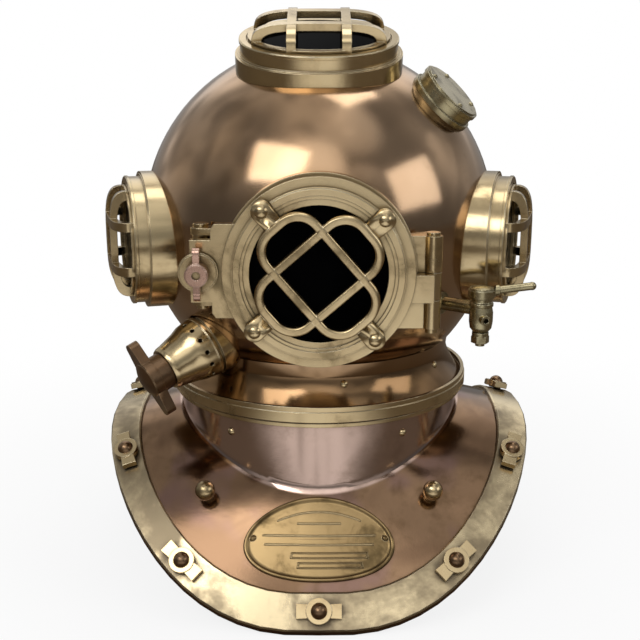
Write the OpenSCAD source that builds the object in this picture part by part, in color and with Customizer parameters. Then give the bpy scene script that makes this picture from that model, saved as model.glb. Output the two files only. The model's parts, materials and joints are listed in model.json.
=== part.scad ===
/* [Bonnet] */
// Outer radius of the copper dome
dome_r = 146.5; // [135:0.5:160]
// Thickness of the copper sheet
sheet = 2; // [1.4:0.1:3]
// Height of the dome's centre above the table
dome_z = 282; // [276:0.5:290]
// How much wider the waist below the dome is than the neck's opening
waist_w = 11; // [8:0.5:14]
// How far the bonnet's brass neck ring stands out from the flared foot
neck_ring_w = 3.5; // [2.5:0.5:6]

/* [Neck joint] */
// Height of the face where the bonnet seats on its gasket
neck_face_z = 144; // [142:0.5:146]
// Thickness of the leather neck gasket
neck_gasket_t = 1.8; // [1:0.1:2.5]
// Radius of the free opening through the neck
neck_bore_r = 98; // [90:0.5:100]
// Thickness of the collar that carries the lugs
collar_t = 6; // [4:0.5:8]
// How far the lugs stand out from the collar
lug_reach = 7.2; // [5:0.1:9]
// Width of the seat round the lugs
seat_w = 12.8; // [10:0.2:16]
// Thickness of the flange that the gasket lies on
neck_flange_t = 3; // [2:0.5:5]
// Number of locking lugs round the neck
lug_count = 4; // [3:1:4]
// Angle that each locking lug spans
lug_angle = 40; // [25:1:42]
// Height of one locking lug
lug_h = 4.2; // [3:0.1:5]

/* [Breastplate] */
// How far the breastplate's neck stands in from the flared foot
plate_neck_in = 5; // [3:0.5:7]
// Half width of the breastplate at its edge
brim_a = 178; // [170:1:190]
// Half depth of the breastplate at its edge
brim_b = 185.6; // [176:0.2:196]
// Height of the edge over the shoulders
shoulder_z = 114; // [100:1:118]
// Height of the neck seam at the front
seam_front_z = 88; // [80:1:94]
// Height of the neck seam over the shoulders
seam_side_z = 131; // [126:1:133]
// Width of the brass band round the edge
band_w = 27; // [22:0.5:32]
// Thickness of the brass band
band_t = 3; // [2:0.1:4]
// Width of the name plate
name_w = 116; // [90:1:126]
// Height of the name plate
name_h = 62; // [40:1:66]

/* [Fasteners] */
// Radius of the brim studs
stud_r = 3.6; // [3:0.1:4.5]
// Radius of a brim nut's round body
nut_r = 9.6; // [8:0.1:10.5]
// Length across the ears of a brim nut
nut_ears = 34; // [26:0.5:38]
// Radius of the rivets round the neck
rivet_r = 3.2; // [2:0.1:4]
// Radial clearance of a pin in its hole
fit_gap = 0.05; // [0.02:0.01:0.1]
// Gap between faces that move past each other
run_gap = 0.3; // [0.2:0.05:0.5]

/* [Oval ports] */
// Half length of a port's glass opening
port_a = 50; // [44:0.5:52]
// Half height of a port's glass opening
port_b = 39.5; // [36:0.5:41]
// How far the top port's rim stands out from the dome
top_rise = 11.5; // [8:0.5:15]
// Forward tilt of the top port
top_tilt = 18; // [0:1:24]
// How far a side port's rim stands out from the dome
side_rise = 15; // [11:0.5:19]
// How far the side ports' axes lie below the dome's centre
side_drop = 8.5; // [2:0.5:14]
// Angle by which the side ports look forward
side_turn = 15.8; // [0:0.2:25]
// Height of a port guard above its rim
guard_h = 15.5; // [12:0.5:18]
// Width of a port guard's bars
guard_bar = 7; // [5:0.2:9]

/* [Front door] */
// How far the front port's axis lies below the dome's centre
door_drop = 14; // [10:0.5:20]
// Radius of the door's glass opening
door_bore_r = 49.2; // [44:0.1:50]
// Width of the door casting round the opening
door_w = 19.5; // [18:0.1:21]
// How much wider than the door its seat on the dome is
seat_rim = 1.8; // [1:0.1:3]
// How far the seat's face stands behind the dome's front
seat_back = 1; // [0:0.5:3]
// Thickness of the door casting
door_t = 9.2; // [8:0.1:12]
// Distance from the door's rim to the hinge pin
hinge_out = 13.3; // [12:0.1:17]
// Distance of the hinge pin behind the seat's face
hinge_back = 5.5; // [4:0.5:7]
// Radius of the hinge knuckles
knuckle_r = 6.8; // [6:0.1:7.5]
// Radius of the hinge pin
hinge_pin_r = 3; // [2.5:0.1:3.5]

/* [Swing bolt] */
// Distance from the door's rim to the bolt
bolt_out = 16.8; // [15:0.1:19]
// Distance of the bolt's pivot behind the seat's face
pivot_back = 15.5; // [14.5:0.5:17]
// Radius of the bolt's shank
bolt_r = 4; // [3:0.1:4.5]
// Radius of the clamp washer
washer_r = 14.3; // [12:0.1:15]
// Length of one wing of the clamp nut from its axis
wing_l = 19; // [16:0.5:20]
// Travel of the clamp nut for one turn
thread_lead = 1.5; // [1:0.25:2]

/* [Exhaust valve] */
// Largest radius of the perforated body
exhaust_r = 25.5; // [22:0.5:27]
// Length of the perforated body
exhaust_l = 37; // [30:0.5:40]
// Radius of the escape holes
exhaust_hole_r = 1.8; // [1:0.1:2.5]
// Number of escape holes round the body
exhaust_holes = 14; // [8:1:18]
// Length of the handle from tip to tip
handle_l = 62; // [50:1:66]

/* [Spitcock] */
// Length of the cock's pipe, from the dome to the plug's axis
spit_reach = 38.8; // [36:0.2:42]
// Radius of the cock's plug cap
spit_cap_r = 10; // [8:0.1:11]
// Length of the lever from the plug's axis
spit_lever_l = 37; // [28:0.5:40]

/* [Fittings] */
// Radius of the telephone cup
cup_r = 26; // [22:0.5:28]
// Height of the telephone cup above the dome
cup_h = 12; // [9:0.5:14]
// Radius of the threaded end of a gooseneck
elbow_end_r = 13; // [11:0.1:14]
// Radius of the bore of a gooseneck
elbow_bore_r = 7; // [5:0.1:8]

/* [Hidden] */
$fn = 96;

// Places that follow from the sizes above
collar_r = neck_bore_r + collar_t;
lug_r = collar_r + lug_reach;
flare_r = lug_r + seat_w;
neck_ring_r = flare_r + neck_ring_w;
waist_r = neck_bore_r + waist_w;
plate_neck_r = flare_r - plate_neck_in;
top_rim = dome_r + top_rise;
side_rim = dome_r + side_rise;
side_z = dome_z - side_drop;
door_z = dome_z - door_drop;
door_r = door_bore_r + door_w;
seat_r = door_r + seat_rim;
seat_face_y = dome_r - seat_back;
hinge_x = door_r + hinge_out;
hinge_y = seat_face_y - hinge_back;
bolt_x = door_r + bolt_out;
bolt_pivot_y = seat_face_y - pivot_back;

brass = [0.72, 0.60, 0.40];
copper = [0.55, 0.38, 0.30];
bronze = [0.42, 0.31, 0.20];
dark = [0.08, 0.08, 0.09];
leather = [0.35, 0.22, 0.14];

// Breastplate surface: angle a runs from the front, t runs from the neck seam to the edge
segments = 72;
brim_power = 2.51;
saddle_power = 2.24;
foot_drop = 1.2;
bead_w = 4;
bead_t = 2.6;
field_steps = [0, 0.06, 0.2, 0.4, 0.6, 0.8];
band_steps = [0, 1 / 3, 2 / 3, 1];
stud_angles = [0, 33, 67, 100, 128, 153, 180, -153, -128, -100, -67, -33];

function spow(v, p) = sign(v) * pow(max(abs(v), 0.000001), p);
function edge_x(a) = brim_a * spow(sin(a), 2 / brim_power);
function edge_y(a) = -brim_b * spow(cos(a), 2 / brim_power);
function edge_z(a) =
    max(0, (shoulder_z + foot_drop) * (1 - pow(abs(edge_y(a) / brim_b), saddle_power)) - foot_drop);
function seam_z(a) = seam_front_z + (seam_side_z - seam_front_z) * pow(sin(a), 2);
function slope_l(a) = norm([
    norm([edge_x(a), edge_y(a)]) - plate_neck_r,
    seam_z(a) - edge_z(a) - bead_t
]);
function band_start(a) = 1 - band_w / slope_l(a);
function skin(t, a) = [
    (1 - t) * plate_neck_r * sin(a) + t * edge_x(a),
    -(1 - t) * plate_neck_r * cos(a) + t * edge_y(a),
    seam_z(a) + (edge_z(a) + bead_t - seam_z(a)) * pow(max(t, 0), 1.12)
];
function unit(v) = v / norm(v);
function skin_normal(t, a) = unit(cross(
    skin(t + 0.01, a) - skin(max(t - 0.01, 0), a),
    skin(t, a + 1) - skin(t, a - 1)
));
function above(t, a, h) = skin(t, a) + h * skin_normal(t, a);
function field_t(u, a) = u * band_start(a);
function brim_t(w, a) = band_start(a) + w * (1 - band_start(a));
function around() = [for (i = [0 : segments - 1]) 360 * i / segments];
function neck_row(r, z) = [for (a = around()) [r * sin(a), -r * cos(a), z]];

// Closed tube of rows of points, each row one ring
function loop_faces(m, n, flip = false) = [
    for (i = [0 : m - 1]) for (j = [0 : n - 1])
        let (a = i * n + j, b = i * n + (j + 1) % n)
        let (c = ((i + 1) % m) * n + (j + 1) % n, d = ((i + 1) % m) * n + j)
        each (flip ? [[a, c, b], [a, d, c]] : [[a, b, c], [a, c, d]])
];
module loop_solid(rows, flip = false) {
    polyhedron(
        points = [for (r = rows) each r],
        faces = loop_faces(len(rows), len(rows[0]), flip),
        convexity = 8
    );
}

neck_top_z = neck_face_z - neck_flange_t;
module breastplate() {
    rows = concat(
        [neck_row(plate_neck_r, neck_top_z)],
        [[for (a = around()) [plate_neck_r * sin(a), -plate_neck_r * cos(a), seam_z(a) + 4]]],
        [for (u = field_steps) [for (a = around()) above(field_t(u, a) + 0.02 * (1 - u), a, 0)]],
        [for (w = band_steps) [for (a = around()) skin(brim_t(w, a), a)]],
        [[for (a = around()) [edge_x(a), edge_y(a), edge_z(a)]]],
        [[for (a = around()) [edge_x(a), edge_y(a), edge_z(a)]
            - bead_w * unit([edge_x(a), edge_y(a), 0])]],
        [for (w = [0.7, 0.3]) [for (a = around()) above(brim_t(w, a), a, -sheet)]],
        [for (u = [0.8, 0.5, 0.2, 0.06]) [for (a = around()) above(field_t(u, a), a, -sheet)]],
        [[for (a = around())
            [(plate_neck_r - sheet) * sin(a), -(plate_neck_r - sheet) * cos(a), seam_z(a)]]],
        [neck_row(plate_neck_r - sheet, neck_top_z)]
    );
    color(copper) loop_solid(rows);
}

module brim_band() {
    low = [for (w = band_steps) [for (a = around()) skin(brim_t(w, a), a)]];
    high = [for (w = [1, 0.95, 0.6, 0.05, 0])
        [for (a = around()) above(brim_t(w, a), a, (w == 0 || w == 1) ? band_t - 1 : band_t)]];
    color(brass) loop_solid(concat(low, high), true);
}

// Stands its children on the breastplate, +Z along the surface normal
module on_skin(t, a, h = 0) {
    n = skin_normal(t, a);
    translate(above(t, a, h))
        rotate([0, acos(n[2]), atan2(n[1], n[0])])
            children();
}

stud_l = 9;
nut_h = 5.5;
nut_lift = 1.2;
// Angle that turns a piece on the band until it lies along the edge
function band_turn(a) =
    let (t = brim_t(0.5, a), n = skin_normal(t, a), v = skin(t, a + 1) - skin(t, a - 1))
    let (f = atan2(n[1], n[0]), k = acos(n[2]))
    atan2(v * [-sin(f), cos(f), 0], v * [cos(k) * cos(f), cos(k) * sin(f), -sin(k)]) - 90;
module each_stud() {
    for (a = stud_angles) {
        on_skin(brim_t(0.5, a), a, band_t + 0.15) rotate([0, 0, band_turn(a)]) children();
    }
}
module brim_studs() {
    color(brass) each_stud() {
        cylinder(r = stud_r, h = stud_l, $fn = 32);
        cylinder(r = stud_r + 2, h = nut_lift - fit_gap, $fn = 32);
    }
}
acorn_r = 6.2;
ear_w = 5.6;
module brim_nuts() {
    color(brass) each_stud() difference() {
        union() {
            translate([0, 0, nut_lift]) cylinder(r = nut_r, h = nut_h, $fn = 40);
            translate([0, 0, nut_lift]) linear_extrude(nut_h - 0.8) polygon([
                [-ear_w, -nut_ears / 2], [ear_w, -nut_ears / 2], [ear_w - 1, 0],
                [ear_w, nut_ears / 2], [-ear_w, nut_ears / 2], [1 - ear_w, 0]
            ]);
            translate([0, 0, nut_lift + nut_h - 1.5]) intersection() {
                sphere(r = acorn_r, $fn = 32);
                cylinder(r = nut_r, h = nut_r, $fn = 32);
            }
        }
        cylinder(r = stud_r + fit_gap, h = stud_l + fit_gap, $fn = 32);
    }
}

// The name plate is a curved oval laid on the front of the breastplate
name_z = 57.5;
name_ring = 40;
name_lift = 0.3;
name_plan_r = 150;
name_slant = 0.78;
function skin_t(a, z) = pow((seam_z(a) - z) / (seam_z(a) - edge_z(a) - bead_t), 1 / 1.12);
function name_point(rho, f, h) =
    let (a = rho * name_w / 2 * cos(f) / name_plan_r * 57.2958)
    above(skin_t(a, name_z + rho * name_h / 2 * name_slant * sin(f)), a, h);
module name_plate() {
    profile = [[0.9, 2.1], [0.93, 3.1], [0.98, 3.1], [1, 2], [1, name_lift], [0.5, name_lift]];
    n = name_ring;
    rows = [for (p = profile) [for (i = [0 : n - 1]) name_point(p[0], -360 * i / n, p[1])]];
    top = name_point(0, 0, 2.1);
    low = name_point(0, 0, name_lift);
    m = len(rows);
    pts = concat([for (r = rows) each r], [top, low]);
    sides = [for (i = [0 : m - 2]) for (j = [0 : n - 1])
        let (a = i * n + j, b = i * n + (j + 1) % n, c = (i + 1) * n + (j + 1) % n, d = (i + 1) * n + j)
        each [[a, c, b], [a, d, c]]];
    ends = [for (j = [0 : n - 1]) each [
        [m * n, j, (j + 1) % n],
        [m * n + 1, (m - 1) * n + (j + 1) % n, (m - 1) * n + j]
    ]];
    color(brass) polyhedron(points = pts, faces = concat(sides, ends), convexity = 4);
}
name_pin_x = 0.84;
module name_plate_pins() {
    color(brass) for (s = [-1, 1]) {
        a = s * name_pin_x * name_w / 2 / name_plan_r * 57.2958;
        n = skin_normal(skin_t(a, name_z), a);
        translate(name_point(name_pin_x, s > 0 ? 0 : 180, 2.2))
            rotate([0, acos(n[2]), atan2(n[1], n[0])])
                intersection() {
                    translate([0, 0, -1]) sphere(r = 2.6, $fn = 24);
                    cylinder(r = 3, h = 3, $fn = 24);
                }
    }
}
ball_r = 7.8;
ball_angle = 36.3;
module ball_studs() {
    color(brass) for (s = [-1, 1]) on_skin(0.37, s * ball_angle, 0.25) {
        cylinder(r = 5, h = 4.2, $fn = 32);
        translate([0, 0, 3 + ball_r]) sphere(r = ball_r, $fn = 48);
    }
}
module rivet_head(r) {
    intersection() {
        translate([0, 0, -r * 0.35]) sphere(r = r * 1.1, $fn = 24);
        cylinder(r = r * 1.2, h = r, $fn = 24);
    }
}
plate_rivet_z = seam_side_z - 3.5;
module breastplate_rivets() {
    color(brass) for (a = [34, -36, 146, -146])
        translate([plate_neck_r * sin(a), -plate_neck_r * cos(a), plate_rivet_z])
            rotate([0, 90, a - 90]) translate([0, 0, 0.1]) rivet_head(rivet_r);
}

// Sector prisms that cut a ring into lugs
module lug_sectors(start, r, z, h) {
    for (i = [0 : lug_count - 1]) rotate([0, 0, start + 360 / lug_count * i])
        translate([0, 0, z]) linear_extrude(h) polygon([
            [0, 0],
            [r * cos(lug_angle / 2), -r * sin(lug_angle / 2)],
            [r * 1.12, 0],
            [r * cos(lug_angle / 2), r * sin(lug_angle / 2)]
        ]);
}
bonnet_face_z = neck_face_z + neck_gasket_t + 0.1;
bonnet_lug_top = bonnet_face_z + lug_h;
module ring(r_in, r_out, z, h) {
    difference() {
        translate([0, 0, z]) cylinder(r = r_out, h = h);
        translate([0, 0, z - 1]) cylinder(r = r_in, h = h + 2);
    }
}
module breastplate_neck_ring() {
    color(brass) {
        ring(collar_r - 2, flare_r + 0.5, neck_top_z, neck_face_z - neck_top_z);
        ring(neck_bore_r, collar_r, neck_top_z, bonnet_lug_top + run_gap + lug_h - neck_top_z);
        intersection() {
            ring(collar_r - 1, lug_r, bonnet_lug_top + run_gap, lug_h);
            lug_sectors(0, lug_r + 10, bonnet_lug_top, lug_h + 2);
        }
    }
}
module neck_gasket() {
    color(leather) ring(lug_r + 1, flare_r - 0.5, neck_face_z, neck_gasket_t);
}
ledge_z = bonnet_face_z + 8;
module bonnet_neck_ring() {
    color(brass) {
        ring(lug_r + run_gap + 0.5, neck_ring_r, bonnet_face_z, ledge_z - bonnet_face_z);
        ring(flare_r + 0.1, neck_ring_r - 0.8, ledge_z, 4);
        intersection() {
            ring(collar_r + run_gap, lug_r + 2, bonnet_face_z, lug_h);
            lug_sectors(0, lug_r + 10, bonnet_face_z - 1, lug_h + 2);
        }
    }
}

// Bonnet shell, turned from one profile: dome, waist and flared foot
waist_z = dome_z - sqrt(dome_r * dome_r - waist_r * waist_r);
function dome_arc(r, from, to, steps) = [for (i = [0 : steps])
    let (f = from + (to - from) * i / steps) [r * cos(f), dome_z + r * sin(f)]];
function foot_arc(off, steps) = [for (i = [1 : steps])
    let (k = i / steps)
    [waist_r + 1.2 - off + (flare_r - waist_r - 1.2) * pow(k, 1.9), waist_z - 2.5 + (ledge_z - waist_z + 2.5) * k]];
waist_f = -asin((dome_z - waist_z) / dome_r);
module bonnet_body(off) {
    rotate_extrude() polygon(concat(
        [[0, ledge_z], [0, dome_z + dome_r - off]],
        dome_arc(dome_r - off, 89, waist_f + 1.5, 40),
        foot_arc(off, 8)
    ));
}
module bonnet_cutters() {
    translate([0, 0, door_z]) rotate([90, 0, 0]) cylinder(r = door_bore_r + 2, h = dome_r + 10);
    for (k = [0 : 2]) at_port(k) linear_extrude(200) oval(port_a - 1, port_b - 1);
    at_exhaust() translate([0, 0, -30]) cylinder(r = exhaust_bore_r + 1, h = 40);
    at_spit_pipe() translate([0, 0, -12]) cylinder(r = 4.5, h = 30, $fn = 32);
    for (s = [-1, 1]) at_elbow(s) translate([0, 0, -20]) cylinder(r = elbow_bore_r, h = 40);
    at_cup() translate([0, 0, -10]) cylinder(r = 8, h = 20);
}
module bonnet_shell() {
    color(copper) difference() {
        bonnet_body(0);
        translate([0, 0, -0.01]) bonnet_body(sheet);
        bonnet_cutters();
    }
}
bonnet_rivet_z = waist_z - 12;
function foot_x(z) =
    waist_r + 1.2 + (flare_r - waist_r - 1.2) * pow((waist_z - 2.5 - z) / (waist_z - 2.5 - ledge_z), 1.9);
bonnet_rivet_x = foot_x(bonnet_rivet_z);
module bonnet_rivets() {
    color(brass) for (a = [58, -58, 122, -122, 10, 170])
        difference() {
            translate([bonnet_rivet_x * sin(a), -bonnet_rivet_x * cos(a), bonnet_rivet_z])
                rotate([0, 62, a - 90]) translate([0, 0, -0.6]) rivet_head(rivet_r);
            // cone through the foot's profile just above and just below the rivet
            translate([0, 0, bonnet_rivet_z - rivet_r]) cylinder(
                r1 = foot_x(bonnet_rivet_z - rivet_r) + fit_gap,
                r2 = foot_x(bonnet_rivet_z + rivet_r) + fit_gap, h = 2 * rivet_r, $fn = 200
            );
        }
}

// Full oval, half length a and half height b
module oval(a, b) {
    polygon([for (f = [0 : 5 : 355]) [a * spow(cos(f), 0.93), b * spow(sin(f), 0.93)]]);
}
module oval_ring(z, h, w_out, w_in) {
    translate([0, 0, z]) linear_extrude(h) difference() {
        oval(port_a + w_out, port_b + w_out);
        oval(port_a + w_in, port_b + w_in);
    }
}
// Port 0 is on top, port 1 on the wearer's right and port 2 on the wearer's left
module at_port(k) {
    if (k == 0) translate([0, 0, dome_z]) rotate([top_tilt, 0, 0]) children();
    if (k > 0) translate([0, 0, side_z])
        rotate([0, 90, k == 1 ? 180 + side_turn : -side_turn]) rotate([0, 0, 90]) children();
}
function rim(k) = k == 0 ? top_rim : side_rim;
wall_w = 11;
flange_w = 15;
recess_w = 6;
recess_t = 10;
module oval_block(z, h, w) {
    translate([0, 0, z]) linear_extrude(h) oval(port_a + w, port_b + w);
}
module port_seat(k) {
    color(brass) difference() {
        union() {
            at_port(k) oval_block(rim(k) - 40, 28, flange_w);
            at_port(k) oval_block(rim(k) - 14, 14, wall_w);
            at_port(k) oval_block(rim(k) - 15, 3.6, wall_w + 2);
            at_port(k) oval_block(rim(k) - 2.6, 2, wall_w + 0.7);
        }
        translate([0, 0, dome_z]) sphere(r = dome_r + 0.02, $fn = 200);
        at_port(k) oval_block(rim(k) - 60, 70, 0);
        at_port(k) oval_block(rim(k) - recess_t, recess_t + 1, recess_w);
    }
}
module port_gasket(k) {
    color(dark) at_port(k) oval_ring(rim(k) - recess_t, 1.5, recess_w - 0.2, 0.5);
}
module port_glass(k) {
    color(dark) at_port(k) translate([0, 0, rim(k) - recess_t + 1.5]) linear_extrude(5)
        oval(port_a + recess_w - 0.4, port_b + recess_w - 0.4);
}
module port_ring(k) {
    color(brass) at_port(k) oval_ring(rim(k) - recess_t + 6.5, 2.7, recess_w - 0.2, -0.5);
}
// Arched bar: half length l, height h, depth d of the bar, width w
module arch_bar(l, h, d, w) {
    outer = [for (f = [0 : 7.5 : 180]) [l * spow(cos(f), 0.55), h * spow(sin(f), 0.6)]];
    inner = [for (f = [180 : -7.5 : 0]) [(l - d) * spow(cos(f), 0.55), (h - d * 0.75) * spow(sin(f), 0.6)]];
    rotate([90, 0, 0]) translate([0, 0, -w / 2]) linear_extrude(w) polygon(concat(outer, inner));
}
module port_guard(k) {
    foot = recess_w - 1.2;
    base = rim(k) - 0.8;
    long_l = (port_a + foot) * 0.93;
    short_l = (port_b + foot) * 0.95;
    color(brass) at_port(k) {
        oval_ring(base, 2.6, foot, -0.5);
        for (s = [-1, 1]) {
            translate([0, s * (port_b * 0.44), base]) arch_bar(long_l, guard_h + 0.8, 7.5, guard_bar);
            translate([s * (port_a * 0.41), 0, base]) rotate([0, 0, 90])
                arch_bar(short_l, guard_h + 0.8, 7.5, guard_bar);
        }
    }
}
module top_port_seat() { port_seat(0); }
module top_port_gasket() { port_gasket(0); }
module top_port_glass() { port_glass(0); }
module top_port_ring() { port_ring(0); }
module top_port_guard() { port_guard(0); }
module left_port_seat() { port_seat(1); }
module left_port_gasket() { port_gasket(1); }
module left_port_glass() { port_glass(1); }
module left_port_ring() { port_ring(1); }
module left_port_guard() { port_guard(1); }
module right_port_seat() { port_seat(2); }
module right_port_gasket() { port_gasket(2); }
module right_port_glass() { port_glass(2); }
module right_port_ring() { port_ring(2); }
module right_port_guard() { port_guard(2); }

// Front port: cylinders along the viewing direction, y counted forwards from the bonnet's axis
module disc(r, y, t) {
    translate([0, -y, door_z]) rotate([90, 0, 0]) cylinder(r = r, h = t);
}
module hoop(r_in, r_out, y, t) {
    difference() {
        disc(r_out, y, t);
        disc(r_in, y - 1, t + 2);
    }
}
knuckle_top_z = door_z + 25;
knuckle_low_z = door_z - 43;
door_knuckle_low = door_z - 21.5;
door_knuckle_top = door_z - 1.5;
module knuckle(z0, z1, r = knuckle_r) {
    translate([hinge_x, -hinge_y, z0]) cylinder(r = r, h = z1 - z0, $fn = 48);
}
seat_depth = 35.5;
ear_gap = 23.5;
ear_t = 5;
ear_r = 7.5;
module front_port_seat() {
    color(brass) difference() {
        union() {
            hoop(door_bore_r + 2.8, seat_r, seat_face_y - seat_depth, seat_depth);
            knuckle(door_knuckle_top + run_gap, knuckle_top_z);
            knuckle(knuckle_low_z, door_knuckle_low - run_gap);
            for (z = [[door_knuckle_top + run_gap, knuckle_top_z], [knuckle_low_z, door_knuckle_low - run_gap]])
                translate([52, -hinge_y - 3, z[0]]) cube([hinge_x - 52, 22, z[1] - z[0]]);
            for (s = [-1, 1]) translate([0, 0, door_z + 1 + s * (ear_gap + ear_t / 2) - ear_t / 2]) {
                translate([-bolt_x, -bolt_pivot_y, 0]) cylinder(r = ear_r, h = ear_t, $fn = 48);
                translate([-bolt_x, -bolt_pivot_y - ear_r, 0]) cube([32, 22, ear_t]);
            }
        }
        translate([0, 0, dome_z]) sphere(r = dome_r + 0.02, $fn = 200);
        translate([0, 0, door_z]) rotate([90, 0, 0]) cylinder(r = door_bore_r + 2.8, h = 200);
        knuckle(knuckle_low_z - 1, knuckle_top_z + 1, hinge_pin_r + fit_gap);
        translate([-bolt_x, -bolt_pivot_y, door_z - 60]) cylinder(r = pivot_r + fit_gap, h = 120, $fn = 32);
    }
}
module hinge_pin() {
    color(brass) {
        knuckle(knuckle_low_z - 2, knuckle_top_z, hinge_pin_r);
        knuckle(knuckle_top_z, knuckle_top_z + 2.5, hinge_pin_r + 2);
        knuckle(knuckle_low_z - 3.5, knuckle_low_z, hinge_pin_r + 1.5);
    }
}
pivot_r = 3;
bolt_z = door_z + 1;
module at_bolt_pivot() {
    translate([-bolt_x, -bolt_pivot_y, bolt_z]) children();
}
module swing_bolt_pin() {
    reach = ear_gap + ear_t;
    color(brass) at_bolt_pivot() {
        translate([0, 0, -reach - 1.5]) cylinder(r = pivot_r, h = 2 * reach + 1.5, $fn = 32);
        translate([0, 0, reach]) cylinder(r = pivot_r + 2.6, h = 3, $fn = 32);
        translate([0, 0, -reach - 3]) cylinder(r = pivot_r + 1.5, h = 3, $fn = 32);
    }
}

door_back_y = seat_face_y + 1.5;
door_front_y = door_back_y + door_t;
lug_back_y = seat_face_y - 1.5;
lug_front_y = door_front_y - 4;
lug_half_h = 22.5;
lug_end_x = bolt_x + 6;
glass_t = 4;
glass_r = door_bore_r + 5.5;
ledge_t = 2.2;
screw_r = door_bore_r + 11.3;
screw_turn = 4;
tab_r = 7.6;
ring_r = door_bore_r + 12.7;
ring_front_y = door_front_y + 5;
module at_guard_screws() {
    for (i = [0 : 3]) translate([0, 0, door_z]) rotate([0, 45 + 90 * i + screw_turn, 0])
        translate([screw_r, 0, 0]) children();
}
module door_frame() {
    color(brass) difference() {
        union() {
            hoop(door_bore_r, door_r, door_back_y, door_t);
            // latch lug with hollow shoulders that run into the ring
            difference() {
                translate([-lug_end_x, -lug_front_y, bolt_z - 34]) cube([lug_end_x - 55, lug_front_y - lug_back_y, 68]);
                for (s = [-1, 1]) translate([-lug_end_x - 2, -lug_front_y - 1, bolt_z + s * (lug_half_h + 22.5)])
                    rotate([-90, 0, 0]) cylinder(r = 22.5, h = 40);
                for (s = [0, 1]) translate([-lug_end_x - 1, -lug_front_y - 1, s ? bolt_z + lug_half_h : bolt_z - 40])
                    cube([16, 40, 40 - lug_half_h]);
                disc(seat_r + 0.5, lug_back_y - 1, door_back_y - lug_back_y + 1);
                translate([0, 0, dome_z]) sphere(r = dome_r + 2);
            }
            knuckle(door_knuckle_low, door_knuckle_top);
            difference() {
                translate([60, -door_front_y + 2, door_knuckle_low])
                    cube([hinge_x - 60, door_front_y - 2 - hinge_y, door_knuckle_top - door_knuckle_low]);
                disc(seat_r + 0.5, hinge_y - 1, door_back_y - hinge_y + 1);
            }
        }
        disc(door_bore_r, 100, 100);
        disc(glass_r + 0.2, door_back_y + ledge_t, 20);
        hoop(door_bore_r + 4.8, door_r - 4.5, door_back_y - 1, 1 + gasket_seat);
        knuckle(door_knuckle_low - 1, door_knuckle_top + 1, hinge_pin_r + fit_gap);
        // slot for the swing bolt, open to the left
        translate([-lug_end_x - 1, -lug_front_y - 5, bolt_z - bolt_r - 0.6])
            cube([lug_end_x - bolt_x + bolt_r + 1.6, 40, 2 * bolt_r + 1.2]);
        // clear of the seat's knuckles
        for (z = [[door_knuckle_top, knuckle_top_z + 2], [knuckle_low_z - 2, door_knuckle_low]])
            knuckle(z[0], z[1], knuckle_r + 0.6);
    }
}
gasket_seat = 1.2;
module door_gasket() {
    color(dark) hoop(door_bore_r + 5, door_r - 4.7, seat_face_y + run_gap, door_back_y + gasket_seat - seat_face_y - run_gap);
}
module door_glass() {
    color(dark) disc(glass_r, door_back_y + ledge_t, glass_t);
}
module door_ring() {
    y0 = door_back_y + ledge_t + glass_t;
    color(brass) difference() {
        union() {
            hoop(door_bore_r, glass_r, y0, ring_front_y - 2.2 - y0);
            hoop(glass_r - 1, ring_r, door_front_y, ring_front_y - door_front_y - 1);
            hoop(glass_r + 1.4, ring_r - 1.2, door_front_y, ring_front_y - door_front_y);
        }
        at_guard_screws() rotate([90, 0, 0]) cylinder(r = tab_r + 0.3, h = 300, $fn = 48);
    }
}
guard_y = ring_front_y + 0.6;
guard_t = 6.2;
loop_w = 22.3;
loop_l = 45.5;
loop_corner = 17;
lobe_bar = 6.8;
// Oblong with round corners, grown by e on every side
module oblong(e) {
    for (u = [-1, 1]) for (v = [-1, 1])
        translate([u * (loop_l - loop_corner), v * (loop_w - loop_corner)]) circle(r = loop_corner + e);
    square([2 * (loop_l + e), 2 * (loop_w - loop_corner)], center = true);
    square([2 * (loop_l - loop_corner), 2 * (loop_w + e)], center = true);
}
module lattice(w, t) {
    for (i = [0, 1]) rotate([0, 0, 45 - screw_turn + 90 * i]) linear_extrude(t) {
        difference() {
            oblong(w / 2);
            oblong(-w / 2);
        }
        for (s = [-1, 1]) translate([s * (loop_l + screw_r) / 2, 0])
            square([screw_r - loop_l, 2 * w - 2], center = true);
    }
}
module door_guard() {
    color(brass) difference() {
        union() {
            translate([0, -guard_y, door_z]) rotate([90, 0, 0]) lattice(lobe_bar, guard_t - 1.2);
            translate([0, -guard_y, door_z]) rotate([90, 0, 0]) lattice(lobe_bar - 2, guard_t);
            at_guard_screws() translate([0, -door_front_y, 0]) rotate([90, 0, 0])
                cylinder(r = tab_r, h = guard_y + guard_t - 1.2 - door_front_y, $fn = 48);
        }
        at_guard_screws() rotate([90, 0, 0]) cylinder(r = 2.5 + fit_gap, h = 300, $fn = 32);
        at_guard_screws() translate([0, -guard_y - guard_t + 1.2, 0]) rotate([90, 0, 0])
            cylinder(r = 4.9, h = 10, $fn = 32);
    }
}
module door_screws() {
    color(brass) at_guard_screws() {
        translate([0, -door_front_y - 0.1, 0]) rotate([90, 0, 0])
            cylinder(r = 2.5, h = guard_y + guard_t - 1.2 - door_front_y + 1, $fn = 32);
        translate([0, -guard_y - guard_t + 1.2, 0]) rotate([90, 0, 0]) intersection() {
            cylinder(r = 4.6, h = 4, $fn = 32);
            translate([0, 0, -3.2]) sphere(r = 6, $fn = 32);
        }
    }
}

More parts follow.
